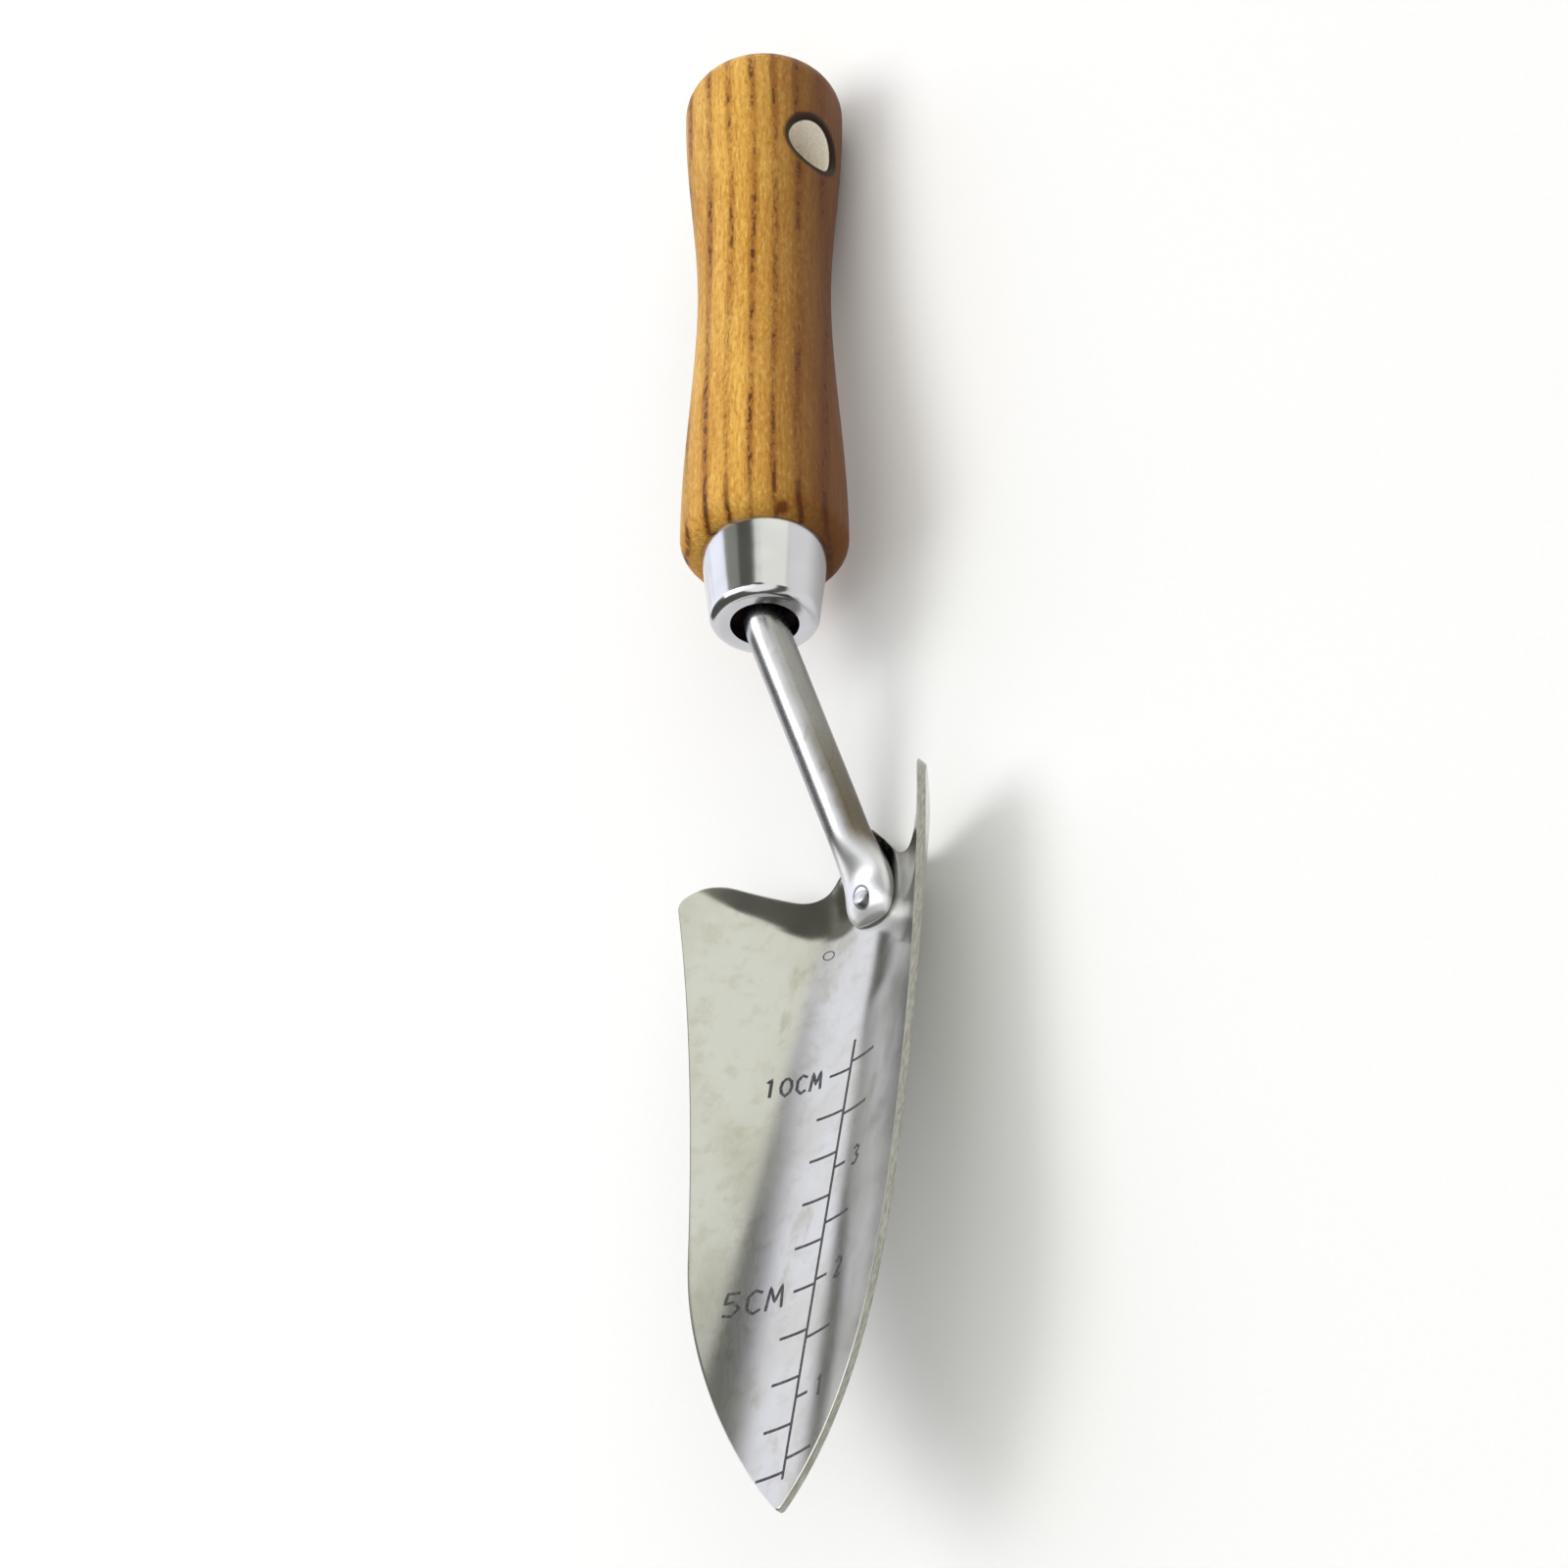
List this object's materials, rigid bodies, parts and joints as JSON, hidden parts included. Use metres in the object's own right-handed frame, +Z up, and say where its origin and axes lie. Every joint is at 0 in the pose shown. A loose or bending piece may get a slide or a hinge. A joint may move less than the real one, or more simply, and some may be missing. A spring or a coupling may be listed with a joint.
{
  "type": "hand transplanter",
  "caption": "Narrow pointed steel trough blade on a cranked round neck, with a tapered ferrule and a turned wooden handle, for lifting and planting seedlings.",
  "frame": {"origin": "on the surface the tool lies on, under the middle of its bounding box", "axes": "+X along the tool from the blade's tip to the handle, +Z up out of the blade's hollow face, +Y across the blade; the tool lies on its back, on the blade's heel and the handle's end"},
  "size_m": [0.3436, 0.0672, 0.0438],
  "materials": {
    "blade_steel": "satin stainless sheet",
    "neck_steel": "bright stainless rod",
    "rivet_steel": "bright stainless",
    "ferrule_chrome": "mirror polished",
    "handle_ash": "varnished ash"
  },
  "bodies": {
    "root": {"blade": "blade_steel", "neck": "neck_steel", "foot_rivet": "rivet_steel", "ferrule": "ferrule_chrome", "handle": "handle_ash"}
  },
  "joints": []
}
